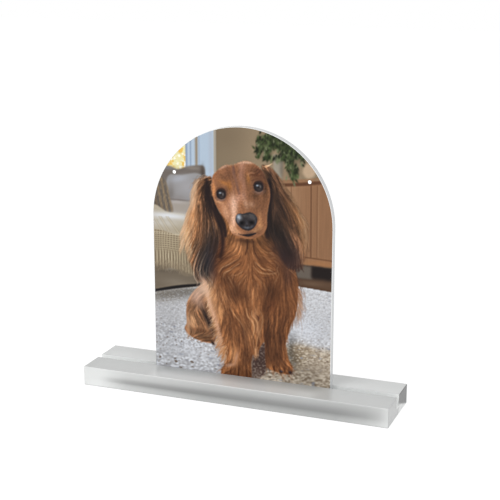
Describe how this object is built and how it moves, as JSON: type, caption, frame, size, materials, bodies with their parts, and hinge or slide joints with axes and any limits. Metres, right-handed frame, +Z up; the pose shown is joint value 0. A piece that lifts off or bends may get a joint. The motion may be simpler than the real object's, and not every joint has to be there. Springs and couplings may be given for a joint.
{
  "type": "acrylic photo block",
  "caption": "Arched clear acrylic panel with a full-colour picture print, standing upright in the groove of a long clear acrylic bar, with small holes in its shoulders for hanging.",
  "frame": {"origin": "centre of the bar's underside", "axes": "+X along the bar, to the right as seen from the front; -Y towards the viewer of the picture; +Z up"},
  "size_m": [0.218, 0.048, 0.184],
  "materials": {
    "frosted_acrylic": "gloss",
    "clear_acrylic": "gloss",
    "white_ink": "matte",
    "picture_ink": "satin"
  },
  "bodies": {
    "base": {"base_bar": "frosted_acrylic"},
    "panel": {"arch_panel": "clear_acrylic", "white_underprint": "white_ink", "picture_print": "picture_ink"}
  },
  "joints": [
    {"name": "panel_lift", "type": "slide", "parent": "base", "child": "panel", "axis": [0, 0, 1], "range_m": [0, 0.03]}
  ]
}
